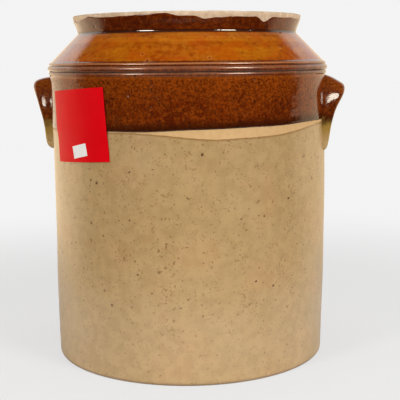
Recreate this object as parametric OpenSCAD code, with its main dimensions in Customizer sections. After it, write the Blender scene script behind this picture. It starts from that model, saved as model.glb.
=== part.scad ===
// Stoneware fermenting crock: a straight-sided jar with a coned shoulder, a flared collar, two ear
// handles, a brown glaze over its upper part and a pair of half-moon weight stones on its floor.
// The origin is the centre of the foot, +Z is up, the handles stand on the X axis, -Y is the front.

/* [Crock] */
// Height from the foot to the rim
crock_h = 330; // [310:1:350]
// Outer radius of the clay wall
wall_r = 134; // [128:0.5:140]
// Thickness of the clay wall
wall_t = 10.5; // [9:0.5:13]
// Thickness of the clay floor
floor_t = 14; // [10:0.5:20]
// How far the wall draws in towards the foot
foot_draw = 2.2; // [0.5:0.1:4]

/* [Shoulder and collar] */
// Drop from the rim to the joint where the shoulder section sits on the wall
joint_drop = 58; // [56:1:62]
// Drop from the rim to the outer edge of the shoulder
shoulder_drop = 46; // [45:0.5:47]
// Outer radius at the crease under the collar
crease_r = 105.8; // [104:0.2:108]
// Height of the collar above the crease
collar_h = 15; // [13:0.5:16]
// How far the rim flares out beyond the crease
rim_flare = 4.4; // [2:0.2:6]
// Finished radius of the mouth, inside its glaze
mouth_r = 96.5; // [94:0.5:98]

/* [Glaze] */
// Thickness of the brown glaze outside and of the liner glaze inside
glaze_t = 0.6; // [0.4:0.1:1]
// Height of the brown glaze's lower edge, on the middle plane
glaze_z = 229; // [222:1:236]
// Tilt of that edge, up towards the right
glaze_tilt = 1.5; // [0:0.1:3]
// Bare clay left below the rim
bare_lip = 4.5; // [3.5:0.5:6]

/* [Handles] */
// How far the crown of a handle stands out from the wall
ear_reach = 20; // [16:0.5:24]
// Drop from the shoulder joint to the middle of the crown
crown_drop = 12.5; // [11.5:0.5:16]
// Height of a handle from the tips of its legs to the middle of the crown
ear_h = 59; // [54:1:64]
// Distance of a leg's middle line from the handle's middle, at its widest
leg_out = 26.5; // [24:0.5:30]
// Half width of the crown
crown_half = 11; // [9:0.5:11.5]

/* [Labels] */
// Width of the red paper label
label_w = 76; // [60:1:80]
// Height of the red paper label
label_h = 65; // [55:1:66]
// Width of the white price sticker
sticker_w = 21.5; // [18:0.5:26]
// Height of the white price sticker
sticker_h = 11; // [8:0.5:14]
// Thickness of the label and of the sticker
paper_t = 0.25; // [0.15:0.05:0.4]

/* [Weight stones] */
// Radius of the round edge of a weight stone
stone_r = 91; // [84:0.5:92]
// Thickness of a weight stone
stone_t = 24; // [18:1:30]
// Gap between the straight edges of the two stones
stone_gap = 6; // [4:0.5:10]
// Radius of the finger hole in a stone
finger_r = 13; // [11:0.5:15]

/* [Hidden] */
$fn = 96;

buff_clay = "#b99666";
bare_clay = "#d8ae7a";
brown = "#733008";
honey = "#8a4a14";
label_red = "#d40606";
paper_white = "#f2f0ea";
stone_grey = "#b8ab96";

// Heights worked out from the rim
joint_z = crock_h - joint_drop;
shoulder_z = crock_h - shoulder_drop;
crease_z = crock_h - collar_h;
lip_round = 2.4;

// The wall runs straight above draw_z and eases in to the foot below it
draw_z = 95;
foot_round = 3;
floor_fillet = 16;
wall_in = wall_r - wall_t;
mouth_clay = mouth_r + glaze_t;

// The shoulder sits over a tongue on top of the wall
tongue_r = wall_r - wall_t / 2;
tongue_h = 5;

// Two beads run round the wall just under the shoulder: [height above the joint, radius, reach]
beads = [[3.6, 1.9, 1.2], [8.8, 2.7, 1.9]];

// Slope of the shoulder's outer face, and of its inner face one wall thickness below it
cone_foot = [wall_r, shoulder_z];
cone_head = [crease_r + 1.4, crease_z - 2];
cone_m = (cone_head.y - cone_foot.y) / (cone_foot.x - cone_head.x);
shoulder_t = wall_t - 1;

// The label and sticker sit on the front left, turned a little as they were stuck on
label_az = -40;
label_z = 230;
label_turn = 3.7;
sticker_az = -37.6;
sticker_z = 207.5;
sticker_turn = 13;
paper_r = wall_r + glaze_t + 0.05;

// The stones lie on the glazed floor
stone_lift = 0.3;
stone_z = floor_t + glaze_t + stone_lift;
stone_round = 4;
finger_at = stone_r * 0.43;

// Steps along a round stretch of an outline
arc_steps = 6;

function bezier(a, b, c) = [
    for (i = [0 : arc_steps])
        let (t = i / arc_steps) a * (1 - t) * (1 - t) + b * 2 * t * (1 - t) + c * t * t
];

function arc(centre, r, from, to) = [
    for (i = [0 : arc_steps])
        let (a = from + (to - from) * i / arc_steps) centre + r * [cos(a), sin(a)]
];

function smooth(k) = k * k * (3 - 2 * k);

// Height on the shoulder's face at radius r, moved out by grow along its normal
function cone_z(r, grow) = cone_foot.y + (wall_r - r) * cone_m + grow * sqrt(1 + cone_m * cone_m);

// One bead, as an arc from its lower edge to its upper edge on a wall moved out by grow
function bead_arc(bead, grow) =
    let (
        centre = [wall_r + bead[2] - bead[1], joint_z + bead[0]],
        r = bead[1] + grow,
        half = acos((wall_r + grow - centre.x) / r)
    ) arc(centre, r, -half, half);

// Outside of the collar at height z, moved out by grow
function collar_at(z, grow) = [crease_r + grow + rim_flare * smooth((z - crease_z) / collar_h), z];

// Outside of the wall, shoulder and collar from height low up to the top of the glaze, moved out by grow
function upper_line(grow, low) =
    let (
        edge_r = wall_r + grow,
        corner = [edge_r, cone_z(edge_r, grow)],
        crease = [crease_r + grow, cone_z(crease_r + grow, grow)],
        before = [crease.x + 4, cone_z(crease.x + 4, grow)],
        foot = crease_z + 1.5,
        top = crock_h - bare_lip,
        collar = [for (i = [0 : arc_steps]) collar_at(foot + (top - foot) * i / arc_steps, grow)]
    ) concat(
        [[edge_r, low]],
        bead_arc(beads[0], grow),
        bead_arc(beads[1], grow),
        [corner],
        bezier(before, crease, collar[0]),
        [for (i = [1 : arc_steps]) collar[i]]
    );

// Outside of the wall from the foot up to the joint
function lower_line() = concat(
    [[0, 0]],
    arc([wall_r - foot_draw - foot_round, foot_round], foot_round, -90, 0),
    [
        for (i = [1 : arc_steps])
            let (k = 1 - i / arc_steps, z = draw_z - (draw_z - foot_round) * k)
                [wall_r - foot_draw * k * k, z]
    ],
    [[wall_r, joint_z]]
);

// Inside of the wall and floor, from the top of the tongue down to the axis, moved in by grow
function wall_inside(grow, top) = concat(
    [[wall_in - grow, top]],
    arc([wall_in - floor_fillet, floor_t + floor_fillet], floor_fillet - grow, 0, -90),
    [[0, floor_t + grow]]
);

// Inside of the shoulder, from the mouth down to the wall, moved in by grow
function shoulder_inside(grow) =
    let (inset = -shoulder_t - grow) [
        [mouth_clay - grow, cone_z(mouth_clay - grow, inset)],
        [wall_in - grow, cone_z(wall_in - grow, inset)]
    ];

// Rounded top of the rim, from its outer edge to the mouth
function rim_line() =
    let (
        outer = crease_r + rim_flare - lip_round,
        inner = mouth_clay + lip_round,
        z = crock_h - lip_round
    ) concat(arc([outer, z], lip_round, 20, 90), arc([inner, z], lip_round, 90, 180));

module turned(outline) {
    rotate_extrude() polygon(outline);
}

// Everything above the tilted lower edge of the brown glaze
module above_glaze_line() {
    reach = 2 * wall_r;
    rotate([0, -glaze_tilt, 0]) translate([-reach, -reach, glaze_z]) cube([2 * reach, 2 * reach, reach]);
}

// Handle, laid out on the unrolled wall: [sideways, above the leg tips, half width, reach] down one leg
ear_stations = [
    [0, ear_h, crown_half, ear_reach],
    [leg_out * 0.58, ear_h - 3, crown_half, ear_reach * 0.95],
    [leg_out * 0.94, ear_h - 13.5, crown_half * 0.95, ear_reach * 0.75],
    [leg_out, ear_h - 26.5, crown_half * 0.86, ear_reach * 0.53],
    [leg_out * 0.87, ear_h - 39.5, crown_half * 0.73, ear_reach * 0.4],
    [leg_out * 0.64, ear_h - 51, crown_half * 0.55, ear_reach * 0.3],
    [leg_out * 0.47, 0, crown_half * 0.3, ear_reach * 0.13]
];
leg_z = joint_z - crown_drop - ear_h;
// Radius of the round opening in the brown glaze that each handle stands in
ear_window = leg_out + 1.32 * crown_half;
ear_last = len(ear_stations) - 1;
ear_sub = 3;
ear_root = 3;

function mirrored(s) = [-s[0], s[1], s[2], s[3]];

// All stations in order, up one leg and down the other
ear_path = concat(
    [for (i = [ear_last : -1 : 1]) mirrored(ear_stations[i])],
    ear_stations
);

function at(i) = ear_path[min(max(i, 0), len(ear_path) - 1)];

// Smooth curve through the stations
function blend(a, b, c, d, t) =
    0.5 * (2 * b + (c - a) * t + (2 * a - 5 * b + 4 * c - d) * t * t + (3 * b - a - 3 * c + d) * t * t * t);

ear_rings = concat(
    [
        for (i = [0 : len(ear_path) - 2], j = [0 : ear_sub - 1])
            blend(at(i - 1), at(i), at(i + 1), at(i + 2), j / ear_sub)
    ],
    [at(len(ear_path) - 1)]
);

function ring_at(i) = ear_rings[min(max(i, 0), len(ear_rings) - 1)];

// Section across the handle: [share of the half width, share of the reach, depth into the wall]
ear_section = concat(
    [[-1.12, 0, ear_root]],
    [for (a = [170 : -20 : 10]) [cos(a), sin(a), 0]],
    [[1.12, 0, ear_root]]
);

// A point of the handle wrapped on to the wall
function wrapped(side, z, reach) =
    let (a = side / wall_r * 180 / PI)
        [(wall_r + reach) * cos(a), (wall_r + reach) * sin(a), z];

function ear_point(i, s) =
    let (
        ring = ring_at(i),
        ahead = ring_at(i + 1) - ring_at(i - 1),
        along = [ahead[0], ahead[1]] / norm([ahead[0], ahead[1]]),
        across = [along.y, -along.x] * ring[2] * s[0]
    ) wrapped(ring[0] + across.x, leg_z + ring[1] + across.y, ring[3] * s[1] - s[2]);

// Handle swept along its arch, with its root still inside the wall
module ear_sweep() {
    n = len(ear_section);
    last = len(ear_rings) - 1;
    points = [for (i = [0 : last], s = ear_section) ear_point(i, s)];
    sides = [
        for (i = [0 : last - 1], k = [0 : n - 1])
            let (a = i * n + k, b = i * n + (k + 1) % n)
                each [[a, b, b + n], [a, b + n, a + n]]
    ];
    ends = [[for (k = [n - 1 : -1 : 0]) k], [for (k = [0 : n - 1]) last * n + k]];
    polyhedron(points, concat(sides, ends), convexity = 6);
}

// Handle cut to the face of the wall
module ear() {
    difference() {
        ear_sweep();
        cylinder(h = joint_z, r = wall_r, $fn = 720);
    }
}

module crock_body() {
    color(buff_clay) turned(concat(
        lower_line(),
        [[tongue_r, joint_z], [tongue_r, joint_z + tongue_h]],
        wall_inside(0, joint_z + tongue_h)
    ));
}

module shoulder_collar() {
    color(bare_clay) turned(concat(
        [[tongue_r, joint_z]],
        upper_line(0, joint_z),
        [collar_at(crock_h - lip_round - 1, 0)],
        rim_line(),
        shoulder_inside(0),
        [[wall_in, joint_z + tongue_h], [tongue_r, joint_z + tongue_h]]
    ));
}

module right_handle() {
    color(brown) ear();
}

module left_handle() {
    color(brown) rotate([0, 0, 180]) ear();
}

// Coat over the collar, shoulder and upper wall, open round the roots of the handles
module brown_glaze() {
    low = glaze_z - 2 * wall_r * sin(glaze_tilt);
    outer = upper_line(glaze_t, low);
    inner = upper_line(0, low);
    color(brown) difference() {
        intersection() {
            turned(concat(outer, [for (i = [len(inner) - 1 : -1 : 0]) inner[i]]));
            above_glaze_line();
        }
        translate([0, 0, joint_z + 1 - ear_window]) rotate([0, 90, 0])
            cylinder(h = 3 * wall_r, r = ear_window, center = true);
    }
}

// Coat over the whole inside, up to the rounded edge of the mouth
module liner_glaze() {
    top = crock_h - lip_round;
    clay = concat(shoulder_inside(0), wall_inside(0, joint_z));
    face = concat(shoulder_inside(glaze_t), wall_inside(glaze_t, joint_z));
    color(honey) turned(concat(
        [[mouth_clay, top]],
        clay,
        [for (i = [len(face) - 1 : -1 : 0]) face[i]],
        [[mouth_r, top]]
    ));
}

// Sheet of paper bent to the wall, facing out at an angle from the front
module bent_sheet(r, az, z, w, h, turn) {
    intersection() {
        difference() {
            cylinder(h = crock_h, r = r + paper_t);
            translate([0, 0, -1]) cylinder(h = crock_h + 2, r = r);
        }
        rotate([0, 0, az]) translate([0, 0, z]) rotate([90, 0, 0]) rotate([0, 0, turn])
            translate([-w / 2, -h / 2, r / 2]) cube([w, h, r]);
    }
}

module red_label() {
    color(label_red) bent_sheet(paper_r, label_az, label_z, label_w, label_h, label_turn);
}

module price_sticker() {
    color(paper_white)
        bent_sheet(paper_r + paper_t, sticker_az, sticker_z, sticker_w, sticker_h, sticker_turn);
}

// Half-moon stone on the +X side, with a finger hole
module weight_stone() {
    edge = stone_r - stone_round;
    difference() {
        translate([0, 0, stone_z]) intersection() {
            turned(concat(
                [[0, 0]],
                arc([edge, stone_round], stone_round, -90, 0),
                arc([edge, stone_t - stone_round], stone_round, 0, 90),
                [[0, stone_t]]
            ));
            translate([stone_gap / 2, -stone_r, 0]) cube([stone_r, 2 * stone_r, stone_t]);
        }
        translate([finger_at, 0, stone_z - 1]) cylinder(h = stone_t + 2, r = finger_r);
    }
}

module right_weight_stone() {
    color(stone_grey) weight_stone();
}

module left_weight_stone() {
    color(stone_grey) rotate([0, 0, 180]) weight_stone();
}

crock_body();
shoulder_collar();
left_handle();
right_handle();
brown_glaze();
liner_glaze();
red_label();
price_sticker();
left_weight_stone();
right_weight_stone();
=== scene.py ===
import math

import bpy
from mathutils import Matrix, Vector, noise


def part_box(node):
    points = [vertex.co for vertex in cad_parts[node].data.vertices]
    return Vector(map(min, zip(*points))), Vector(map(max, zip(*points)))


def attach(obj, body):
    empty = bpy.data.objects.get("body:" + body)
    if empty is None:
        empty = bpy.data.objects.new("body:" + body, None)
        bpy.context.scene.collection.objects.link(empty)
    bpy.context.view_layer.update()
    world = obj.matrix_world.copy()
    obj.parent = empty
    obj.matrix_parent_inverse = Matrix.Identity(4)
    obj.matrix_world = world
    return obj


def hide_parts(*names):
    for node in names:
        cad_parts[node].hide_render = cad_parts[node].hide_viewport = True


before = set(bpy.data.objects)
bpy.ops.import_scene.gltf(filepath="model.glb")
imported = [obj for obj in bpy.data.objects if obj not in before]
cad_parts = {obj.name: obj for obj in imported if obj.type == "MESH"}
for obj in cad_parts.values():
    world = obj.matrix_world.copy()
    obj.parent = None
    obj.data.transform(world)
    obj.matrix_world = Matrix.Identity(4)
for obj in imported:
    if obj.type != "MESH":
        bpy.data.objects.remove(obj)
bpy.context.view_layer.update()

# Outlines and places are written in millimetres and made in metres
MM = 0.001

# Sizes of the crock that the frame's nodes show
WALL_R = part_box("crock_body")[1].x / MM
CROCK_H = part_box("shoulder_collar")[1].z / MM
JOINT_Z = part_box("shoulder_collar")[0].z / MM
MOUTH_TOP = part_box("liner_glaze")[1].z / MM
FLOOR_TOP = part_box("liner_glaze")[0].z / MM
WALL_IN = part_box("liner_glaze")[1].x / MM
COAT_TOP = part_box("brown_glaze")[1].z / MM

# Foot and wall: the wall draws in a little from the draw height down to the foot
FOOT_ROUND = 2.2
FOOT_DRAW = 1.5
DRAW_Z = 95
FLOOR_FILLET = 16

# Tongue of the joint between wall and shoulder
TONGUE_R = WALL_R - 5.25
TONGUE_TOP = JOINT_Z + 5

# Shoulder and collar, which meet in the crease. The cone's lower edge lies a little inside the wall,
# and its upper end a little below the crease and outside of it
SHOULDER_Z = CROCK_H - 46
SHOULDER_IN = 1.75
SHOULDER_T = 9.5
CREASE_R = 105.8
CREASE_Z = CROCK_H - 17.1
CONE_SLOPE = (CREASE_Z - 1 - SHOULDER_Z) / (WALL_R - CREASE_R - 0.6)
COLLAR_FOOT = CREASE_Z + 2
MOUTH_R = 97.1

# The rim: its flare, the rounds of its outer and inner edge, its crown between them, and how far
# down it is worn
RIM_FLARE = 4.9
LIP_EDGE = 1.2
LIP_ROUND = 2.4
LIP_CROWN = 0.2
LIP_TOP = CROCK_H - LIP_CROWN
RIM_WEAR = 6

# The two beads under the shoulder: height, radius and reach beyond the wall
BEADS = [(JOINT_Z + 3.5, 1.9, 0.9), (JOINT_Z + 8.1, 2.4, 1.9)]

# A thin ring at the shoulder's foot, above the beads, in the same way
LEDGE = (SHOULDER_Z + 0.1, 1.5, 0.3)
LEDGE_TOP = SHOULDER_Z + 2

# Glaze coats: their thickness, and how deep their backs lie in the clay
GLAZE_T = 0.6
GLAZE_SINK = 0.3

# Lower edge of the brown coat: its height in the outline, how much lower it hangs, its rise to the
# right, and how far up the wall the coat gives way to it
COAT_Z = 229
COAT_DROP = 1
COAT_TILT = 3.6
COAT_GIVE = 34

# Chips and lobes of its upper edge, which stays below the limit: degrees from the view, height, and
# half width in degrees
RIM_CHIPS = [
    (40, -4.8, 4.8), (9, -2, 5), (15, -1, 6), (0, 0.6, 8), (-9, 1.9, 8), (-16, 2.4, 12),
    (-30, 1.5, 14), (-46, 1.2, 10), (-54, 2, 8), (62, 0.6, 8), (-70, -1.6, 9),
    (88, -2.4, 6), (112, 1.2, 10), (140, -3.6, 5), (171, 1.0, 12),
    (-168, -2.0, 6), (-133, 1.4, 10), (-108, -3.2, 5),
]
HEAD_LIMIT = CROCK_H - 1.4

# Bare band under the brown coat: its least depth, what opening adds to it, and where it opens and
# closes, in degrees from the view
BAND_LEAST = 0.7
BAND_DEPTH = 8
BAND_OPENS = (-22, 12)
BAND_CLOSES = (24, 84)

# How far the crock sways to the right, half way up
SWAY = 1.2

# Steps round the wheel for a thrown piece
THROW_STEPS = 320

# The photograph's camera, turned round the crock from its front
VIEW_AZ = math.radians(8)
CAMERA_BACK = 925
CAMERA_SIDE = 11.1
CAMERA_UP = 288
CAMERA_DIP = math.radians(8.61)
CAMERA_ROLL = math.radians(-0.51)
CAMERA_LENS = 83.5
CAMERA_SENSOR = 36


# Small sums

def smooth(value, low, high):
    """0 below low, 1 above high, smooth between them."""
    share = min(max((value - low) / (high - low), 0), 1)
    return share * share * (3 - 2 * share)


def blend_of(share, a, b):
    return a + (b - a) * share


def azimuth(co):
    """Angle round the crock from the photograph's view, growing to the right."""
    turned = math.atan2(co.x, -co.y) - VIEW_AZ
    return (turned + math.pi) % (2 * math.pi) - math.pi


def spaced(start, end, spacing):
    """Values from start to end, about a spacing apart."""
    count = max(1, round(abs(end - start) / spacing))
    return [start + (end - start) * i / count for i in range(count + 1)]


def arc(centre, radius, start, end, count):
    """Points of an arc between two angles in degrees."""
    angles = [math.radians(start + (end - start) * i / count) for i in range(count + 1)]
    return [(centre[0] + radius * math.cos(a), centre[1] + radius * math.sin(a)) for a in angles]


def bow(start, pull, end, count):
    """Points of a curve from start to end that bends towards the pull."""
    points = []
    for i in range(count + 1):
        t = i / count
        shares = ((1 - t) ** 2, 2 * t * (1 - t), t * t)
        points.append(tuple(sum(s * p[k] for s, p in zip(shares, (start, pull, end))) for k in (0, 1)))
    return points


def tint(red, green, blue):
    """Colour as a screen shows it, from 0 to 255, turned into light."""
    shown = [channel / 255 for channel in (red, green, blue)]
    light = [c / 12.92 if c <= 0.04045 else ((c + 0.055) / 1.055) ** 2.4 for c in shown]
    return (*light, 1)


# Modelling by hand

def clear_hands():
    if bpy.context.mode != "OBJECT":
        bpy.ops.object.mode_set(mode="OBJECT")
    bpy.ops.object.select_all(action="DESELECT")


def drawn(name, points):
    """A chain of vertices drawn by extruding the first one from point to point."""
    clear_hands()
    bpy.context.tool_settings.mesh_select_mode = (True, False, False)
    bpy.ops.mesh.primitive_plane_add(size=MM)
    piece = bpy.context.active_object
    piece.name = name
    bpy.ops.object.mode_set(mode="EDIT")
    bpy.ops.mesh.select_all(action="SELECT")
    bpy.ops.mesh.merge(type="CENTER")
    bpy.ops.transform.translate(value=Vector(points[0]) * MM)
    for here, there in zip(points, points[1:]):
        step = (Vector(there) - Vector(here)) * MM
        bpy.ops.mesh.extrude_region_move(TRANSFORM_OT_translate={"value": step})
    return piece


def close_up(piece):
    """Weld a piece in edit mode, turn its faces outwards and leave edit mode."""
    bpy.ops.mesh.select_all(action="SELECT")
    bpy.ops.mesh.remove_doubles(threshold=0.01 * MM)
    bpy.ops.mesh.normals_make_consistent(inside=False)
    bpy.ops.object.mode_set(mode="OBJECT")
    return piece


def thrown(name, outline):
    """An outline of (radius, height) points spun once round the wheel."""
    piece = drawn(name, [(r, 0, z) for r, z in outline])
    bpy.ops.mesh.select_all(action="SELECT")
    bpy.ops.mesh.spin(steps=THROW_STEPS, angle=2 * math.pi, center=(0, 0, 0), axis=(0, 0, 1))
    return close_up(piece)


def apply_all(piece):
    """Apply every modifier of a piece."""
    clear_hands()
    piece.select_set(True)
    bpy.context.view_layer.objects.active = piece
    for modifier in list(piece.modifiers):
        bpy.ops.object.modifier_apply(modifier=modifier.name)


def push(piece, moved):
    """Move every vertex by hand: moved takes and gives a place in millimetres."""
    for vertex in piece.data.vertices:
        vertex.co = moved(vertex.co / MM) * MM
    piece.data.update()


def mark(piece, name, measure):
    """Keep a measure of every vertex, in millimetres, for the finish to read."""
    layer = piece.data.attributes.new(name, "FLOAT", "POINT")
    for vertex, value in zip(piece.data.vertices, layer.data):
        value.value = measure(vertex.co / MM)


def dress(piece, body, node, finish, sharp=40):
    """Give a piece its finish, its body and the node that it replaces."""
    clear_hands()
    piece.select_set(True)
    bpy.context.view_layer.objects.active = piece
    bpy.ops.object.shade_smooth_by_angle(angle=math.radians(sharp))
    piece.data.materials.clear()
    piece.data.materials.append(finish)
    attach(piece, body)
    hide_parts(node)


# Outlines of the crock

def throwing_lines(z):
    return 0.02 * math.sin(z / 1.45) + 0.03 * math.sin(z / 3.1 + 0.8) + 0.1 * math.sin(z / 13 + 2)


def finger_rings(z):
    """Soft rings that the thrower's fingers leave inside."""
    return 0.22 * math.sin(z / 4.1) + 0.15 * math.sin(z / 9.3 + 1)


def wall_radius(z):
    draw = max(0, (DRAW_Z - z) / (DRAW_Z - FOOT_ROUND))
    return WALL_R - FOOT_DRAW * draw * draw + throwing_lines(z)


def cone_height(r, grow):
    """Height of the shoulder's cone at a radius, moved out by grow."""
    return SHOULDER_Z + (WALL_R - r) * CONE_SLOPE + grow * math.hypot(1, CONE_SLOPE)


def collar_radius(z):
    return CREASE_R + RIM_FLARE * smooth(z, CREASE_Z, CROCK_H)


def bead_arc(bead, grow, count):
    height, radius, reach = bead
    centre = (WALL_R + reach - radius, height)
    half = math.degrees(math.acos((radius - reach + grow) / (radius + grow)))
    return arc(centre, radius + grow, -half, half, count)


def upper_outline(grow, spacing, count):
    """Beads, ledge, shoulder and collar from the wall up to the rim's foot, moved out by grow."""
    edge = WALL_R - SHOULDER_IN + 0.8 * grow
    crease = (CREASE_R + grow, cone_height(CREASE_R + grow, grow))
    shoulder = [(r, cone_height(r, grow)) for r in spaced(edge, crease[0] + 1.2, spacing)]
    collar = [(collar_radius(z) + grow, z) for z in spaced(crease[1] + 1.1, COAT_TOP, spacing / 2)]
    lower, upper = (bead_arc(bead, grow, count) for bead in BEADS)
    beads = bow((WALL_R + grow, lower[0][1] - 1.5), lower[0], lower[2], 4) + lower[3:] + upper
    height, radius, reach = LEDGE
    ledge = arc((WALL_R + reach - radius, height), radius + grow, -50, 75, count)
    return beads + ledge + shoulder + bow(shoulder[-1], crease, collar[0], count)[1:] + collar[1:]


def out_of_round(co):
    """A hand-thrown pot is never quite round, and this one sways a little to the right."""
    turn = math.atan2(co.x, -co.y)
    swell = 0.32 * math.sin(2 * turn + 0.6 + co.z / 140) + 0.22 * math.sin(3 * turn + 1.9 + co.z / 90)
    share = 1 + swell / WALL_R
    sway = SWAY * math.sin(math.pi * min(max(co.z / CROCK_H, 0), 1)) ** 2
    return Vector((co.x * share + sway * math.cos(VIEW_AZ), co.y * share + sway * math.sin(VIEW_AZ), co.z))


# Edges of the brown coat and wear of the rim, at an angle from the photograph's view

def coat_foot(turn):
    """Height of the coat's lower edge on the wall."""
    ripple = 0.25 * math.sin(7 * turn + 0.4) + 0.18 * math.sin(13 * turn + 2.1)
    return COAT_Z - COAT_DROP + COAT_TILT * math.sin(turn) + ripple


def coat_head(turn):
    """Height of the coat's ragged upper edge under the rim."""
    degrees = math.degrees(turn)
    height = COAT_TOP - 0.8 + 0.5 * noise.noise((turn * 9, 0, 0)) + 0.3 * noise.noise((turn * 31, 4, 0))
    for middle, rise, half in RIM_CHIPS:
        away = abs((degrees - middle + 180) % 360 - 180)
        height += rise * max(0, 1 - away / half)
    return min(height, HEAD_LIMIT)


def edge_glaze(co):
    """Pull the coat's even edges to their own heights, along the wall and the collar."""
    turn = azimuth(co)
    r = math.hypot(co.x, co.y)
    z = co.z
    z += (coat_foot(turn) - COAT_Z) * (1 - smooth(co.z, COAT_Z, COAT_Z + COAT_GIVE))
    z += (coat_head(turn) - COAT_TOP) * smooth(co.z, COLLAR_FOOT, COAT_TOP)
    if co.z > COLLAR_FOOT:
        r += collar_radius(z) - collar_radius(co.z)
    share = r / math.hypot(co.x, co.y)
    return out_of_round(Vector((co.x * share, co.y * share, z)))


def wear_rim(co):
    """Small chips and dips along the bare rim."""
    if co.z > CROCK_H - RIM_WEAR:
        turn = azimuth(co)
        dip = 0.7 * noise.noise((turn * 5, 1, 0)) + 0.6 * noise.noise((turn * 17, 7, 0)) - 0.1
        co = Vector((co.x, co.y, co.z - max(0, dip) * smooth(co.z, CROCK_H - RIM_WEAR, CROCK_H)))
    return out_of_round(co)


def clear_edge(turn):
    """Lower edge of the bare band under the coat, where the clear glaze on the wall begins."""
    degrees = math.degrees(turn)
    open_up = smooth(degrees, *BAND_OPENS) * (1 - smooth(degrees, *BAND_CLOSES))
    return coat_foot(turn) - BAND_LEAST - BAND_DEPTH * open_up


def above_coat_foot(co):
    return co.z - coat_foot(azimuth(co))


def above_clear_edge(co):
    return co.z - clear_edge(azimuth(co))


# Finishes

class Finish:
    """Nodes of one finish, read in object coordinates turned to millimetres."""

    def __init__(self, name):
        self.material = bpy.data.materials.new(name)
        self.material.use_nodes = True
        self.tree = self.material.node_tree
        self.shader = self.tree.nodes["Principled BSDF"]
        self.place = self.node("ShaderNodeTexCoord").outputs["Object"]
        self.place = self.vector("SCALE", self.place, scale=1 / MM)

    def node(self, kind, **settings):
        node = self.tree.nodes.new(kind)
        for name, value in settings.items():
            setattr(node, name, value)
        return node

    def put(self, socket, value):
        """Link a socket to another's output, or set it to a value of its own."""
        if isinstance(value, bpy.types.NodeSocket):
            self.tree.links.new(value, socket)
        else:
            socket.default_value = value

    def dial(self, name, value):
        self.put(self.shader.inputs[name], value)

    def vector(self, operation, a, b=None, scale=None):
        node = self.node("ShaderNodeVectorMath", operation=operation)
        self.put(node.inputs[0], a)
        if b is not None:
            self.put(node.inputs[1], b)
        if scale is not None:
            self.put(node.inputs["Scale"], scale)
        return node.outputs["Value"] if operation in ("DOT_PRODUCT", "LENGTH") else node.outputs["Vector"]

    def calc(self, operation, a, b=0.0):
        node = self.node("ShaderNodeMath", operation=operation)
        self.put(node.inputs[0], a)
        self.put(node.inputs[1], b)
        return node.outputs[0]

    def add(self, a, b):
        return self.calc("ADD", a, b)

    def less(self, a, b):
        return self.calc("SUBTRACT", a, b)

    def times(self, a, b):
        return self.calc("MULTIPLY", a, b)

    def most(self, a, b):
        return self.calc("MAXIMUM", a, b)

    def height(self):
        return self.vector("DOT_PRODUCT", self.place, (0, 0, 1))

    def marked(self, name):
        return self.node("ShaderNodeAttribute", attribute_name=name).outputs["Fac"]

    def between(self, value, low, high):
        """0 at low, 1 at high, smooth between them. Low may be the greater one."""
        node = self.node("ShaderNodeMapRange", interpolation_type="SMOOTHSTEP")
        self.put(node.inputs["Value"], value)
        node.inputs["From Min"].default_value = low
        node.inputs["From Max"].default_value = high
        return node.outputs["Result"]

    def band(self, value, rise, fall):
        """1 inside a band. Each of its two edges goes from where it is 0 to where it is 1."""
        return self.times(self.between(value, *rise), self.between(value, *fall))

    def line(self, value, middle, half):
        """1 on the middle, falling to 0 at half away on both sides."""
        away = self.calc("ABSOLUTE", self.less(value, middle))
        return self.between(away, half, half * 0.3)

    def cloud(self, size, detail=3, stretch=(1, 1, 1)):
        """Noise with spots of about that size."""
        node = self.node("ShaderNodeTexNoise")
        self.put(node.inputs["Vector"], self.vector("MULTIPLY", self.place, stretch))
        node.inputs["Scale"].default_value = 1 / size
        node.inputs["Detail"].default_value = detail
        return node.outputs["Fac"]

    def scattered(self, spacing):
        """Points strewn about a spacing apart: the way to the nearest, and two chances of its own."""
        node = self.node("ShaderNodeTexVoronoi")
        self.put(node.inputs["Vector"], self.place)
        node.inputs["Scale"].default_value = 1 / spacing
        chance = self.node("ShaderNodeSeparateColor")
        self.put(chance.inputs[0], node.outputs["Color"])
        return self.times(node.outputs["Distance"], spacing), chance.outputs[0], chance.outputs[1]

    def specks(self, spacing, least, most):
        """Ragged specks with a radius from least to most, some dark and some faint.
        A least below 0 leaves points without one."""
        away, size, strength = self.scattered(spacing)
        ragged = self.times(self.less(self.cloud(most * 0.8, 2), 0.5), most * 2.8)
        radius = self.add(self.times(size, most - least), least)
        depth = self.add(self.times(strength, 0.7), 0.3)
        return self.times(self.between(self.less(radius, self.add(away, ragged)), 0, 0.35), depth)

    def flecks(self, size, level):
        """Small ragged flecks that gather in clusters, where the noise rises above the level."""
        crowd = self.times(self.less(self.cloud(15, 2), 0.5), 0.4)
        return self.between(self.add(self.cloud(size, 1), crowd), level, level + 0.06)

    def pits(self, spacing, radius):
        """Burst bubbles in the glaze, at fewer than half of the points: the pit and its pale ring."""
        away, chance, _ = self.scattered(spacing)
        rare = self.between(chance, 0.5, 0.6)
        pit = self.between(away, radius, radius * 0.5)
        ring = self.band(away, (radius * 0.7, radius), (radius * 1.6, radius * 1.2))
        return self.times(pit, rare), self.times(ring, rare)

    def mix(self, share, a, b):
        node = self.node("ShaderNodeMix", data_type="RGBA")
        self.put(node.inputs[0], share)
        self.put(node.inputs[6], a)
        self.put(node.inputs[7], b)
        return node.outputs[2]

    def over(self, colour, where, part, shade):
        """A part of a shade laid over a colour, where the mask says."""
        return self.mix(self.times(where, part), colour, shade)

    def toned(self, colour, tone):
        """A colour multiplied by a tone, channel by channel."""
        node = self.node("ShaderNodeMix", data_type="RGBA", blend_type="MULTIPLY")
        node.inputs[0].default_value = 1
        self.put(node.inputs[6], colour)
        self.put(node.inputs[7], tone)
        return node.outputs[2]

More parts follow.
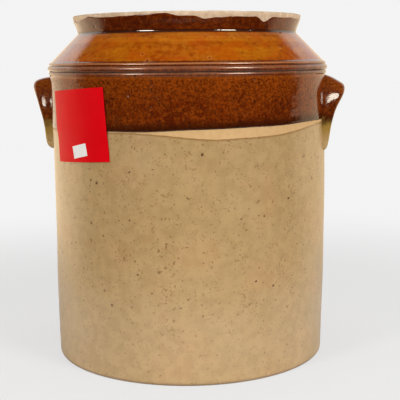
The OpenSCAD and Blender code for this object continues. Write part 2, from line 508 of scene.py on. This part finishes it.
    def blend(self, share, a, b):
        node = self.node("ShaderNodeMix", data_type="FLOAT")
        self.put(node.inputs[0], share)
        self.put(node.inputs[2], a)
        self.put(node.inputs[3], b)
        return node.outputs[0]

    def relief(self, height, depth):
        """Bump of a height, of which 1 is worth depth millimetres."""
        node = self.node("ShaderNodeBump")
        node.inputs["Strength"].default_value = 1
        node.inputs["Distance"].default_value = depth * MM
        self.put(node.inputs["Height"], height)
        self.dial("Normal", node.outputs["Normal"])

    def done(self, colour, roughness):
        self.dial("Base Color", colour)
        self.dial("Roughness", roughness)
        return self.material


GLAZE_SHEEN = (1, 0.93, 0.78, 1)
# Painted shade multiplied into the colour of the rim's top
RIM_TOP_PAINTED_SHADE = (0.74, 0.73, 0.72, 1)
# Painted light and sheen: the wall's brown glaze made lighter and paler on the ears
EAR_BROWN_PAINTED_LIGHT_AND_SHEEN = (1.08, 1.28, 1.9, 1)
# Painted light: the wall's buff made lighter on the ears
EAR_BUFF_PAINTED_LIGHT = (1.15, 1.15, 1.15, 1)


def thick_brown(finish, height, patch, cells, grain, spots):
    """Colour of the thick glaze on the wall, lighter below the beads."""
    below_beads = finish.band(height, (JOINT_Z - 22, JOINT_Z - 4), (JOINT_Z + 3, JOINT_Z + 1))
    colour = finish.mix(patch, tint(96, 31, 4), tint(120, 47, 5))
    colour = finish.over(colour, below_beads, 0.52, tint(150, 68, 10))
    colour = finish.over(colour, cells, 0.5, tint(144, 66, 11))
    colour = finish.over(colour, grain, 0.65, tint(60, 19, 3))
    return finish.over(colour, spots, 0.85, tint(36, 10, 3))


def thin_amber(finish, height, patch, cells, grain):
    """Colour of the thin glaze on the shoulder, which changes from the ledge up to the crease."""
    low = finish.between(height, SHOULDER_Z + 22, SHOULDER_Z + 4)
    high = finish.between(height, CREASE_Z - 9, CREASE_Z - 1)
    lit = finish.line(height, CREASE_Z - 7.2, 3.6)
    ruddy = finish.times(finish.line(height, CREASE_Z - 12, 3.8), finish.cloud(12, 2, (0.5, 0.5, 1)))
    streak = finish.between(finish.cloud(1.9, 3, (0.07, 0.07, 1)), 0.34, 0.66)
    runs = finish.between(finish.cloud(3.4, 2, (0.4, 0.4, 1)), 0.35, 0.65)
    fiery = finish.between(finish.cloud(13, 2, (0.6, 0.6, 1)), 0.46, 0.64)
    colour = finish.mix(patch, tint(152, 68, 2), tint(174, 104, 7))
    colour = finish.over(colour, low, 0.5, tint(130, 47, 2))
    colour = finish.over(colour, high, 0.5, tint(160, 98, 44))
    colour = finish.over(colour, lit, 0.3, tint(196, 120, 30))
    colour = finish.over(colour, ruddy, 1.1, tint(124, 42, 2))
    colour = finish.over(colour, streak, 0.5, tint(127, 53, 2))
    colour = finish.over(colour, runs, 0.26, tint(174, 101, 11))
    colour = finish.over(colour, cells, 0.24, tint(190, 116, 16))
    colour = finish.over(colour, grain, 0.2, tint(116, 44, 2))
    colour = finish.over(colour, fiery, 0.42, tint(164, 68, 2))
    return finish.over(colour, finish.specks(4.6, -1.3, 1.8), 0.55, tint(98, 36, 2))


def bead_crests(finish, height, ledge):
    """1 on the crests of the ledge and the two beads."""
    crests = ledge
    for middle, radius, _ in BEADS:
        crests = finish.most(crests, finish.line(height, middle + 0.5 * radius, 0.9 * radius))
    return crests


def brown_look(finish):
    """Mottled brown iron glaze: colour, roughness and relief. It runs thin and amber on the shoulder and
    gathers dark along its lower edge; its crease and grooves are darkened for glaze pooling and painted
    shade."""
    height = finish.height()
    patch = finish.between(finish.cloud(30, 3), 0.36, 0.66)
    cells = finish.between(finish.cloud(4.4, 2), 0.4, 0.62)
    grain = finish.between(finish.cloud(1.9, 2), 0.38, 0.62)
    spots = finish.specks(3.6, -0.6, 1.3)
    thin = finish.band(height, (LEDGE_TOP - 0.4, LEDGE_TOP + 2), (CREASE_Z - 0.2, CREASE_Z - 1.4))
    brown = thick_brown(finish, height, patch, cells, grain, spots)
    colour = finish.mix(thin, brown, thin_amber(finish, height, patch, cells, grain))
    pit, ring = finish.pits(14, 2)
    colour = finish.over(colour, finish.times(ring, thin), 0.26, tint(204, 134, 54))
    colour = finish.over(colour, pit, 0.75, tint(90, 34, 3))
    collar = finish.between(height, CREASE_Z - 1, CREASE_Z)
    colour = finish.over(colour, collar, 0.2, tint(78, 24, 3))

    # Glaze pooling and painted shade: the crease and the grooves are darkened
    shallow = finish.most(
        finish.line(height, LEDGE_TOP + 0.3, 1.2), finish.line(height, SHOULDER_Z - 1.3, 0.7))
    deep = finish.most(finish.line(height, CREASE_Z + 0.2, 2.2), finish.line(height, JOINT_Z + 5.7, 1.2))
    pooling_and_painted_shade = finish.most(deep, finish.times(shallow, 0.5))
    colour = finish.over(colour, pooling_and_painted_shade, 0.85, tint(44, 10, 2))

    # Glaze breaking and painted sheen: the crests of the ledge and the beads are lightened, partly standing
    # in for the sheen along them
    ledge = finish.line(height, LEDGE[0] + 0.8, 1.1)
    crests = bead_crests(finish, height, ledge)
    worn = finish.times(finish.cloud(22, 3), 0.34)
    # Painted light: a lighter line under the lower bead, where the fillet at its foot faces down into shade
    painted_light_under_beads = finish.line(height, JOINT_Z + 0.6, 2)
    foot = finish.between(finish.marked("above_coat_foot"), 11, 1)
    colour = finish.over(colour, ledge, 0.3, tint(214, 134, 66))
    colour = finish.over(colour, crests, worn, tint(192, 144, 108))
    colour = finish.over(colour, painted_light_under_beads, 0.22, tint(170, 88, 24))
    colour = finish.over(colour, foot, 0.9, tint(46, 14, 3))

    peel = finish.add(finish.cloud(2.4, 2), finish.times(finish.cloud(9, 2), 1.5))
    peel = finish.add(peel, finish.times(finish.cloud(26, 1), 6))
    peel = finish.less(peel, finish.times(spots, 0.4))
    peel = finish.less(peel, finish.times(pit, 3))

    crease = finish.line(height, CREASE_Z, 1.8)
    finish.dial("Specular Tint", GLAZE_SHEEN)
    finish.dial("Specular IOR Level", finish.blend(crease, finish.blend(crests, 0.5, 0.6), 1.0))
    return colour, finish.blend(crests, finish.blend(cells, 0.05, 0.1), 0.2), peel


def buff_look(finish):
    """Buff clay under a thin clear glaze: colour and relief. Its many iron specks fade towards the foot."""
    patch = finish.between(finish.cloud(60, 3), 0.3, 0.7)
    cloudy = finish.between(finish.cloud(9, 3), 0.35, 0.65)
    grain = finish.cloud(1.8, 3)
    streak = finish.between(finish.cloud(8, 3, (0.12, 0.12, 1)), 0.35, 0.65)
    rosy = finish.between(finish.cloud(38, 2), 0.48, 0.7)
    iron = (finish.specks(6.5, -1.9, 1.6), finish.specks(3.6, -1, 1.1), finish.flecks(1.9, 0.64))
    faint = finish.blend(finish.between(finish.height(), 20, 90), 0.6, 1.0)
    bold, small, fine = (finish.times(marks, faint) for marks in iron)
    colour = finish.mix(patch, tint(174, 143, 94), tint(182, 152, 105))
    colour = finish.over(colour, rosy, 0.4, tint(192, 147, 99))
    colour = finish.over(colour, streak, 0.06, tint(172, 134, 84))
    colour = finish.over(colour, cloudy, 0.3, tint(210, 176, 126))
    colour = finish.over(colour, grain, 0.25, tint(154, 114, 68))
    colour = finish.over(colour, fine, 0.5, tint(130, 88, 34))
    colour = finish.over(colour, small, 0.85, tint(114, 72, 14))
    colour = finish.mix(bold, colour, tint(92, 52, 2))
    relief = finish.add(grain, finish.times(cloudy, 0.3))
    return colour, finish.less(relief, finish.times(bold, 0.6))


def buff_wall_finish():
    """The wall: clear glaze below, and above its golden edge a band of bare clay."""
    finish = Finish("buff_wall")
    colour, relief = buff_look(finish)
    above = finish.add(finish.marked("above_clear_edge"), finish.times(finish.cloud(9, 2), 1.2))
    above = finish.less(above, 0.6)
    bare = finish.between(above, -0.3, 0.3)
    edge = finish.band(above, (-2.4, -0.4), (0.6, -0.2))
    clay = finish.mix(finish.cloud(4, 3), tint(198, 155, 99), tint(215, 177, 125))
    # Painted shade: the wall darkens over its last few millimetres towards the foot, standing in for the
    # shadow where it meets the floor
    foot = finish.between(finish.height(), 4, 0.4)
    colour = finish.over(colour, edge, 0.7, tint(142, 98, 44))
    colour = finish.mix(bare, colour, clay)
    colour = finish.over(colour, foot, 0.7, tint(106, 73, 44))
    finish.relief(relief, 0.1)
    finish.dial("Specular IOR Level", finish.blend(bare, 0.85, 0.5))
    return finish.done(colour, finish.blend(bare, 0.31, 0.75))


def bare_clay_finish():
    """Bare clay of the shoulder piece, of which the rim shows, stained, with painted shade darkening its
    top.
    """
    finish = Finish("bare_clay")
    patch = finish.between(finish.cloud(5, 4), 0.3, 0.7)
    stain = finish.between(finish.cloud(17, 4), 0.5, 0.68)
    # Painted shade: the rim's top is made darker to offset the stronger lamp light on it
    top = finish.between(finish.height(), CROCK_H - 1.7, CROCK_H - 0.6)
    colour = finish.mix(patch, tint(211, 180, 146), tint(233, 206, 175))
    colour = finish.over(colour, stain, 0.25, tint(172, 134, 96))
    colour = finish.over(colour, finish.specks(4, -0.6, 0.8), 0.5, tint(150, 106, 72))
    colour = finish.mix(top, colour, finish.toned(colour, RIM_TOP_PAINTED_SHADE))
    finish.relief(finish.add(finish.cloud(1.2, 3), finish.cloud(4, 2)), 0.25)
    return finish.done(colour, 0.8)


def brown_finish():
    finish = Finish("brown_glaze")
    colour, roughness, relief = brown_look(finish)
    finish.relief(relief, 0.09)
    return finish.done(colour, roughness)


def ear_finish():
    """Brown on the crown and legs, thinning through olive to buff below the glaze line."""
    finish = Finish("ear_glaze")
    brown, roughness, relief = brown_look(finish)
    buff, _ = buff_look(finish)
    ragged = finish.add(finish.times(finish.cloud(13, 2), 16), finish.times(finish.cloud(3, 2), 5))
    above = finish.add(finish.marked("above_coat_foot"), finish.less(ragged, 5))
    olive = finish.between(above, 13, 2)
    below = finish.between(above, 2, -15)
    # The ears' brown carries painted light and sheen, lighter and paler than the same glaze on the wall
    colour = finish.mix(olive, finish.toned(brown, EAR_BROWN_PAINTED_LIGHT_AND_SHEEN), tint(162, 127, 61))
    # The ears' buff carries painted light, lighter than the same clay on the wall
    colour = finish.mix(below, colour, finish.toned(buff, EAR_BUFF_PAINTED_LIGHT))
    finish.relief(relief, 0.05)
    finish.dial("Specular IOR Level", finish.blend(below, 0.34, 0.4))
    return finish.done(colour, finish.blend(below, finish.add(roughness, 0.05), 0.3))


def liner_finish():
    """Brown glaze inside, poured round and lighter than outside."""
    finish = Finish("liner_glaze")
    patch = finish.between(finish.cloud(34, 3), 0.35, 0.65)
    cells = finish.between(finish.cloud(5, 2), 0.4, 0.62)
    colour = finish.mix(patch, tint(122, 60, 16), tint(142, 76, 24))
    colour = finish.over(colour, cells, 0.35, tint(158, 94, 36))
    colour = finish.over(colour, finish.cloud(2, 2), 0.3, tint(84, 36, 8))
    colour = finish.over(colour, finish.specks(5, -1, 1.3), 0.7, tint(62, 26, 8))
    finish.relief(finish.add(finish.cloud(3, 2), finish.cloud(12, 2)), 0.1)
    return finish.done(colour, finish.blend(cells, 0.12, 0.2))


def paper_finish(name, colour, faded):
    finish = Finish(name)
    fibre = finish.cloud(0.9, 4)
    wash = finish.between(finish.cloud(22, 2), 0.3, 0.7)
    shade = finish.over(colour, wash, 0.5, faded)
    shade = finish.over(shade, fibre, 0.15, faded)
    finish.relief(finish.add(fibre, finish.times(wash, 2)), 0.05)
    finish.dial("Specular IOR Level", 0.06)
    return finish.done(shade, 0.42)


def stone_finish():
    finish = Finish("weight_stoneware")
    cloudy = finish.between(finish.cloud(16, 4), 0.3, 0.7)
    colour = finish.mix(cloudy, tint(184, 164, 132), tint(206, 189, 160))
    colour = finish.over(colour, finish.specks(6, -0.5, 0.9), 0.7, tint(104, 82, 60))
    finish.relief(finish.add(finish.cloud(1.4, 3), cloudy), 0.2)
    return finish.done(colour, 0.7)


# The crock

def make_body(finish):
    foot_r = WALL_R - FOOT_DRAW - FOOT_ROUND
    fillet_r = WALL_IN - FLOOR_FILLET
    fillet_z = FLOOR_TOP + FLOOR_FILLET
    outside = [(r, 0) for r in spaced(0, foot_r - 1, 16)]
    outside += arc((foot_r, FOOT_ROUND), FOOT_ROUND, -90, 0, 6)
    outside += [(wall_radius(z), z) for z in spaced(FOOT_ROUND, JOINT_Z, 2)[1:]]
    tongue = [(TONGUE_R, JOINT_Z), (TONGUE_R, TONGUE_TOP)]
    inside = [(WALL_IN, z) for z in spaced(TONGUE_TOP, fillet_z, 12)]
    inside += arc((fillet_r, fillet_z), FLOOR_FILLET, 0, -90, 6)[1:]
    inside += [(r, FLOOR_TOP) for r in spaced(fillet_r, 0, 20)[1:]]
    piece = thrown("crock_body_thrown", outside + tongue + inside)
    mark(piece, "above_clear_edge", above_clear_edge)
    push(piece, out_of_round)
    dress(piece, "crock", "crock_body", finish)


def make_shoulder(finish):
    outer_lip = collar_radius(CROCK_H) - LIP_EDGE
    inner_lip = MOUTH_R + LIP_ROUND
    crown = ((outer_lip + inner_lip) / 2, CROCK_H + LIP_CROWN)
    outline = [(TONGUE_R, JOINT_Z), (WALL_R, JOINT_Z)] + upper_outline(0, 2, 6)
    outline += [(collar_radius(z), z) for z in spaced(COAT_TOP, CROCK_H - LIP_EDGE - 0.4, 0.6)[1:]]
    outline += arc((outer_lip, LIP_TOP - LIP_EDGE), LIP_EDGE, 10, 90, 5)[:-1]
    outline += bow((outer_lip, LIP_TOP), crown, (inner_lip, LIP_TOP), 8)
    outline += arc((inner_lip, LIP_TOP - LIP_ROUND), LIP_ROUND, 90, 180, 6)[1:]
    outline += [(r, cone_height(r, -SHOULDER_T)) for r in (MOUTH_R, WALL_IN)]
    outline += [(WALL_IN, TONGUE_TOP), (TONGUE_R, TONGUE_TOP), (TONGUE_R, JOINT_Z)]
    piece = thrown("shoulder_collar_thrown", outline)
    push(piece, wear_rim)
    dress(piece, "crock", "shoulder_collar", finish)


def make_coat(finish):
    """The brown glaze: a coat with a thick rolled foot on the wall and a thin head under the rim."""
    roll = [(-GLAZE_SINK, 0), (0.3, 0.05), (0.75, 0.5), (0.95, 1.4), (0.85, 2.8), (GLAZE_T, 6)]
    face = [(WALL_R + out, COAT_Z + up) for out, up in roll]
    face += [(WALL_R + GLAZE_T, z) for z in spaced(COAT_Z + 6, JOINT_Z, 2)[1:]]
    face += upper_outline(GLAZE_T, 2, 8)
    head_r = collar_radius(COAT_TOP)
    head = [(head_r + out, COAT_TOP + up) for out, up in ((0.45, 0.3), (0.1, 0.45), (-GLAZE_SINK, 0.4))]
    back = upper_outline(-GLAZE_SINK, 4, 3)[::-1]
    back += [(WALL_R - GLAZE_SINK, z) for z in spaced(JOINT_Z, COAT_Z, 7)]
    piece = thrown("brown_glaze_coat", face + head + back)
    push(piece, edge_glaze)
    mark(piece, "above_coat_foot", above_coat_foot)
    dress(piece, "crock", "brown_glaze", finish, 60)


def make_liner(finish):
    """The glaze inside, from the mouth down over the shoulder and the wall to the floor, and its back."""
    inset = SHOULDER_T + GLAZE_T
    face_in = WALL_IN - GLAZE_T
    face_floor = FLOOR_TOP + GLAZE_T
    mouth = MOUTH_R - GLAZE_T
    fillet_r = WALL_IN - FLOOR_FILLET
    fillet_z = FLOOR_TOP + FLOOR_FILLET
    face = [(mouth, z) for z in spaced(MOUTH_TOP, cone_height(mouth, -inset), 3)]
    face += [(r, cone_height(r, -inset)) for r in spaced(mouth, face_in, 4)[1:]]
    face += [(face_in + finger_rings(z), z) for z in spaced(cone_height(face_in, -inset), fillet_z, 3)[1:]]
    face += arc((fillet_r, fillet_z), FLOOR_FILLET - GLAZE_T, 0, -90, 8)[1:]
    face += [(r, face_floor + 0.15 * math.sin(r / 2.6)) for r in spaced(fillet_r, 0, 4)[1:]]
    back = [(r, FLOOR_TOP - GLAZE_SINK) for r in spaced(0, fillet_r, 30)]
    back += arc((fillet_r, fillet_z), FLOOR_FILLET + GLAZE_SINK, -90, 0, 8)[1:]
    back += [(r + GLAZE_SINK, cone_height(r, -SHOULDER_T)) for r in (WALL_IN, MOUTH_R)]
    back += [(MOUTH_R + GLAZE_SINK, MOUTH_TOP), face[0]]
    piece = thrown("liner_glaze_coat", face + back)
    push(piece, out_of_round)
    dress(piece, "crock", "liner_glaze", finish)


def on_wall(side, z, reach, facing):
    """A place on the wall: side is measured round it from the facing angle."""
    turn = facing + side / WALL_R
    return out_of_round(Vector(((WALL_R + reach) * math.sin(turn), -(WALL_R + reach) * math.cos(turn), z)))


# The ear handles, shaped as a straight bar and then laid along an arch on the wall

# Down one leg from the crown: sideways, height from the crown, half width and reach
EAR_LEG = [
    (0, 0, 10.6, 20.3), (5.6, -1.1, 10.1, 20.2), (10.6, -5, 9.2, 19), (14.6, -11.4, 8.4, 16.8),
    (17.6, -19.4, 7.8, 13.8), (19.2, -29, 7, 10.8), (18.8, -39, 5.9, 8.3), (17.4, -48.6, 4.6, 6.6),
    (16, -55.8, 3.2, 4.6), (15.2, -59, 1.6, 1.9),
]
CROWN_Z = JOINT_Z - 12.5
EAR_STEP = 10
EAR_DENT = 0.5
DENT_SIZE = 17


def ear_path(crown_z, fuller, legs, tail):
    """Stations from one leg's tip over the crown to the other's. Fuller, legs and tail thicken or thin
    the crown, the legs and their lower ends."""
    last = len(EAR_LEG) - 1
    leg = []
    for i, (side, down, half, reach) in enumerate(EAR_LEG):
        thick = blend_of(smooth(i, 0, 3), fuller, 1) * blend_of(smooth(i, 2, 5), 1, legs)
        thick *= 1 + tail * smooth(i, last / 2, last)
        leg.append(Vector((side, crown_z + down, half, reach * thick)))
    other = [Vector((-side, z, half, reach)) for side, z, half, reach in leg[:0:-1]]
    return other + leg


def ear_section(lean):
    """Outline across the ear, in half widths and reaches: flared on the wall, with sides that lean in."""
    side = [(-1.26, -0.16), (-1.22, -0.02), (-1.12, 0.16), (lean / 2 - 1.17, 0.47), (lean - 1.12, 0.78)]
    side += [(lean - 0.94, 0.95), (lean / 2 - 0.43, 1.01)]
    return side + [(-across, up) for across, up in side[::-1]]


def along(path, t):
    """Smooth curve through the stations of a path, at station t."""
    i = min(max(int(t), 0), len(path) - 2)
    a, b, c, d = (path[min(max(k, 0), len(path) - 1)] for k in (i - 1, i, i + 1, i + 2))
    s = t - i
    bend = (2 * a - 5 * b + 4 * c - d) * s * s
    twist = (3 * b - a - 3 * c + d) * s ** 3
    return 0.5 * (2 * b + (c - a) * s + bend + twist)


def make_ear(name, node, facing, path, lean, spill, finish):
    """One ear. Its brown glaze runs down further than the coat's on the wall by the spill."""
    last = len(path) - 1
    rings = spaced(0, last, 0.5)
    _, _, half, reach = along(path, 0)
    section = [(0, across * half, up * reach) for across, up in ear_section(lean)]
    piece = drawn(name, section)
    bpy.ops.mesh.select_all(action="SELECT")
    bpy.ops.mesh.edge_face_add()
    for before, after in zip(rings, rings[1:]):
        step = ((after - before) * EAR_STEP * MM, 0, 0)
        bpy.ops.mesh.extrude_region_move(TRANSFORM_OT_translate={"value": step})
        _, _, half_now, reach_now = along(path, after)
        grow = (1, half_now / half, reach_now / reach)
        bpy.ops.transform.resize(value=grow, center_override=(after * EAR_STEP * MM, 0, 0))
        half, reach = half_now, reach_now
    close_up(piece)
    rounding = piece.modifiers.new("rounding", "SUBSURF")
    rounding.levels = 3
    rounding.render_levels = 3
    apply_all(piece)

    def laid(co):
        t = min(max(co.x / EAR_STEP, 0), last)
        here = along(path, t)
        ahead = along(path, min(t + 0.02, last)) - along(path, max(t - 0.02, 0))
        way = Vector((ahead[0], ahead[1])).normalized()
        over = (co.x / EAR_STEP - t) * EAR_STEP
        side = here[0] + way.y * co.y + way.x * over
        z = here[1] - way.x * co.y + way.y * over
        dent = EAR_DENT * noise.noise(Vector((side / DENT_SIZE, z / DENT_SIZE, facing)))
        return on_wall(side, z, co.z + dent * smooth(co.z, 1, 6), facing)

    push(piece, laid)
    bpy.ops.object.mode_set(mode="EDIT")
    close_up(piece)
    mark(piece, "above_coat_foot", lambda co: above_coat_foot(co) + spill)
    dress(piece, "crock", node, finish, 60)


# The paper label and the sticker on it: angle from the front, height and turn, then the flat size.
# The paper ripples, and its corners curl from a share of the way out to them

LABEL_PLACE = (math.radians(-40), 230, math.radians(3.7))
LABEL_SIZE = (77, 65.5)
STICKER_PLACE = (math.radians(-38.3), 207.5, math.radians(11.5))
STICKER_SIZE = (19.7, 11.3)
PAPER_T = 0.2
PAPER_GAP = 0.25
ROLL_RISE = 0.35
PAPER_RIPPLE = 0.12
RIPPLE_SIZE = 14
CORNER_CURL = 9
CURL_FROM = 0.9
LABEL_RED = (tint(221, 1, 14), tint(228, 5, 22))
STICKER_WHITE = (tint(247, 246, 243), tint(236, 233, 228))


def under_paper(z):
    """How far the paper stands off the clay: it steps up over the rolled edge of the brown glaze."""
    return PAPER_GAP + (GLAZE_T + ROLL_RISE) * smooth(z, COAT_Z - 18, COAT_Z - 1)


def make_paper(name, node, size, place, lift, cells, finish):
    """A sheet stuck on the wall. Its corners curl up, the more so the further it lies off the clay."""
    facing, middle_z, turn = place
    clear_hands()
    bpy.ops.mesh.primitive_grid_add(x_subdivisions=cells[0], y_subdivisions=cells[1], size=1)
    piece = bpy.context.active_object
    piece.name = name
    bpy.ops.object.mode_set(mode="EDIT")
    bpy.ops.mesh.select_all(action="SELECT")
    bpy.ops.transform.resize(value=(size[0] * MM, size[1] * MM, 1))
    bpy.ops.object.mode_set(mode="OBJECT")
    sheet = piece.modifiers.new("thickness", "SOLIDIFY")
    sheet.thickness = PAPER_T * MM
    sheet.offset = 1
    apply_all(piece)

    def stuck(co):
        side = co.x * math.cos(turn) - co.y * math.sin(turn)
        z = middle_z + co.x * math.sin(turn) + co.y * math.cos(turn)
        corner = max(0, abs(co.x) / size[0] + abs(co.y) / size[1] - CURL_FROM)
        ripple = PAPER_RIPPLE * (1 + noise.noise(Vector((side / RIPPLE_SIZE, z / RIPPLE_SIZE, lift))))
        curl = CORNER_CURL * corner * corner * lift
        return on_wall(side, z, under_paper(z) + lift + co.z + ripple + curl, facing)

    push(piece, stuck)
    bpy.ops.object.mode_set(mode="EDIT")
    close_up(piece)
    dress(piece, "crock", node, finish, 60)


# The weight stones: worn edges, the gap between the two, and the finger hole at a share of the radius

STONE_ROUND = 3.5
STONE_GAP = 6
FINGER_R = 13
FINGER_SHARE = 0.43


def make_stone(name, node, body, side, finish):
    """A half-moon stone with a finger hole, on the left (side -1) or on the right (side 1)."""
    low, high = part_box(node)
    radius = max(abs(low.x), abs(high.x))
    middle_z = (low.z + high.z) / 2
    thick = high.z - low.z
    clear_hands()
    bpy.ops.mesh.primitive_cylinder_add(vertices=128, radius=radius, depth=thick, location=(0, 0, middle_z))
    piece = bpy.context.active_object
    piece.name = name
    bpy.ops.object.transform_apply(location=True, rotation=True, scale=True)
    bpy.ops.object.mode_set(mode="EDIT")
    bpy.ops.mesh.select_all(action="SELECT")
    bpy.ops.mesh.bisect(
        plane_co=(side * STONE_GAP / 2 * MM, 0, 0), plane_no=(-side, 0, 0), clear_outer=True, use_fill=True)
    bpy.ops.object.mode_set(mode="OBJECT")
    clear_hands()
    hole_x = side * radius * FINGER_SHARE
    bpy.ops.mesh.primitive_cylinder_add(
        vertices=64, radius=FINGER_R * MM, depth=thick * 2, location=(hole_x, 0, middle_z))
    drill = bpy.context.active_object
    hole = piece.modifiers.new("finger_hole", "BOOLEAN")
    hole.operation = "DIFFERENCE"
    hole.object = drill
    worn = piece.modifiers.new("worn_edges", "BEVEL")
    worn.width = STONE_ROUND * MM
    worn.segments = 5
    worn.limit_method = "ANGLE"
    apply_all(piece)
    bpy.data.objects.remove(drill)
    dress(piece, body, node, finish)


# The studio, in metres

# Ways to the back and to the right, as the photograph's camera sees them
BACK_WAY = (-math.sin(VIEW_AZ), math.cos(VIEW_AZ), 0)
RIGHT_WAY = (math.cos(VIEW_AZ), math.sin(VIEW_AZ), 0)

# What the camera sees of floor and backdrop
FLOOR_SIZE = 12
FLOOR_SHADE = (0.8, 0.8, 0.79, 1)
FLOOR_GLOW = 0.81
FLOOR_GLOW_SHARE = 0.78
BACKDROP_GLOW = 0.9

# What they shed on the crock: white behind and on the left, warm from below, and little from the room
BACKDROP_LIGHT = 1.1
BACKDROP_TOP_LIGHT = 0.95
LEFT_SIDE_LIGHT = 1.35
LEFT_FLOOR_LIGHT = 1.75
CEILING_LIGHT = 0.14
ROOM_LIGHT = 0.04
BOUNCE_TINT = (1, 0.8, 0.55, 1)
WHITE = (1, 1, 1, 1)

# The place that the lamps are turned to
LAMP_AIM = (0, 0, 0.2)


def make_camera():
    data = bpy.data.cameras.new("camera")
    data.sensor_width = CAMERA_SENSOR
    data.lens = CAMERA_LENS
    camera = bpy.data.objects.new("camera", data)
    bpy.context.scene.collection.objects.link(camera)
    round_crock = Matrix.Rotation(VIEW_AZ, 4, "Z")
    stand = Matrix.Translation(Vector((CAMERA_SIDE, -CAMERA_BACK, CAMERA_UP)) * MM)
    aim = Matrix.Rotation(math.pi / 2 - CAMERA_DIP, 4, "X") @ Matrix.Rotation(CAMERA_ROLL, 4, "Z")
    camera.matrix_world = round_crock @ stand @ aim
    bpy.context.scene.camera = camera


class Studio(Finish):
    """Nodes of the floor or the world, with the same small sums as a finish."""

    def __init__(self, tree, place):
        self.tree = tree
        self.place = self.node("ShaderNodeTexCoord").outputs[place]
        self.back = self.vector("DOT_PRODUCT", self.place, BACK_WAY)
        self.left = self.between(self.vector("DOT_PRODUCT", self.place, RIGHT_WAY), -0.2, -0.6)
        self.seen = self.node("ShaderNodeLightPath").outputs["Is Camera Ray"]


def make_floor():
    """A pale floor that keeps the shadow near the crock and runs out into the white of the backdrop.
    In front, where the room is, its far part lights almost nothing."""
    clear_hands()
    bpy.ops.mesh.primitive_plane_add(size=FLOOR_SIZE)
    floor = bpy.context.active_object
    floor.name = "floor"
    material = bpy.data.materials.new("floor")
    material.use_nodes = True
    shader = material.node_tree.nodes["Principled BSDF"]
    shader.inputs["Base Color"].default_value = FLOOR_SHADE
    shader.inputs["Roughness"].default_value = 0.9
    shader.inputs["Specular IOR Level"].default_value = 0
    studio = Studio(material.node_tree, "Object")
    seen = studio.seen
    away = studio.vector("LENGTH", studio.place)
    far = studio.between(away, 0.25, 0.9)
    room = studio.times(studio.between(studio.back, 0.22, -0.05), studio.between(away, 0.3, 0.5))
    light = studio.blend(room, studio.blend(studio.left, BACKDROP_LIGHT, LEFT_FLOOR_LIGHT), ROOM_LIGHT)
    shown = studio.blend(far, FLOOR_GLOW, BACKDROP_GLOW)
    glow = studio.node("ShaderNodeEmission")
    studio.put(glow.inputs["Color"], studio.mix(seen, BOUNCE_TINT, WHITE))
    studio.put(glow.inputs["Strength"], studio.blend(seen, light, shown))
    glow_share = studio.blend(seen, studio.most(far, room), studio.blend(far, FLOOR_GLOW_SHARE, 1))
    mix = studio.node("ShaderNodeMixShader")
    studio.put(mix.inputs[0], glow_share)
    studio.put(mix.inputs[1], shader.outputs[0])
    studio.put(mix.inputs[2], glow.outputs[0])
    studio.put(material.node_tree.nodes["Material Output"].inputs["Surface"], mix.outputs[0])
    floor.data.materials.append(material)


def make_world():
    """A white backdrop behind the crock, a soft band of ceiling light, and a dim room in front."""
    world = bpy.data.worlds.new("studio")
    bpy.context.scene.world = world
    world.use_nodes = True
    studio = Studio(world.node_tree, "Generated")
    seen = studio.seen
    height = studio.height()
    high = studio.between(height, 0.1, 0.3)
    backdrop = studio.times(studio.between(studio.back, 0.1, 0.32), studio.between(height, 0.6, 0.5))
    white = studio.blend(high, BACKDROP_LIGHT, BACKDROP_TOP_LIGHT)
    white = studio.blend(studio.left, white, LEFT_SIDE_LIGHT)
    ceiling = studio.band(height, (0.42, 0.55), (0.92, 0.82))
    ceiling = studio.times(ceiling, studio.between(studio.back, 0.02, -0.12))
    room = studio.blend(ceiling, ROOM_LIGHT, CEILING_LIGHT)
    light = studio.blend(backdrop, room, white)
    sky = world.node_tree.nodes["Background"]
    studio.put(sky.inputs["Strength"], studio.blend(seen, light, BACKDROP_GLOW))
    studio.put(sky.inputs["Color"], studio.mix(studio.most(seen, high), BOUNCE_TINT, WHITE))


def make_softbox(name, turn, rise, away, size, power, mirrored=True):
    """A lamp at a turn from the view and a rise above the table, in degrees."""
    data = bpy.data.lights.new(name, "AREA")
    data.shape = "RECTANGLE"
    data.size, data.size_y = size
    data.energy = power
    lamp = bpy.data.objects.new(name, data)
    lamp.visible_glossy = mirrored
    bpy.context.scene.collection.objects.link(lamp)
    turn = VIEW_AZ + math.radians(turn)
    rise = math.radians(rise)
    out = Vector((math.sin(turn) * math.cos(rise), -math.cos(turn) * math.cos(rise), math.sin(rise)))
    facing = out.to_track_quat("Z", "Y").to_matrix().to_4x4()
    lamp.matrix_world = Matrix.Translation(Vector(LAMP_AIM) + out * away) @ facing


make_camera()
make_floor()
make_world()
make_softbox("left_softbox", turn=-42, rise=24, away=1.7, size=(0.35, 0.5), power=15.2)
make_softbox("right_softbox", turn=42.5, rise=26, away=1.7, size=(0.5, 0.45), power=21.4)
make_softbox("overhead_softbox", turn=0, rise=88, away=1.5, size=(0.7, 0.7), power=7, mirrored=False)

make_body(buff_wall_finish())
make_shoulder(bare_clay_finish())
make_coat(brown_finish())
make_liner(liner_finish())
ear = ear_finish()
make_ear(
    "left_ear", "left_handle", -math.pi / 2, ear_path(CROWN_Z + 1.2, fuller=1.13, legs=1, tail=0.7),
    lean=0.22, spill=0.5, finish=ear)
make_ear(
    "right_ear", "right_handle", math.pi / 2, ear_path(CROWN_Z + 0.8, fuller=0.93, legs=0.84, tail=0),
    lean=0.6, spill=3.8, finish=ear)
make_paper(
    "red_label_paper", "red_label", LABEL_SIZE, LABEL_PLACE, lift=0.1, cells=(40, 34),
    finish=paper_finish("red_paper", *LABEL_RED))
make_paper(
    "price_sticker_paper", "price_sticker", STICKER_SIZE, STICKER_PLACE, lift=0.45,
    cells=(16, 10), finish=paper_finish("white_paper", *STICKER_WHITE))
stone = stone_finish()
make_stone("left_stone", "left_weight_stone", "left_stone", -1, stone)
make_stone("right_stone", "right_weight_stone", "right_stone", 1, stone)

bpy.context.scene.view_settings.view_transform = "Standard"
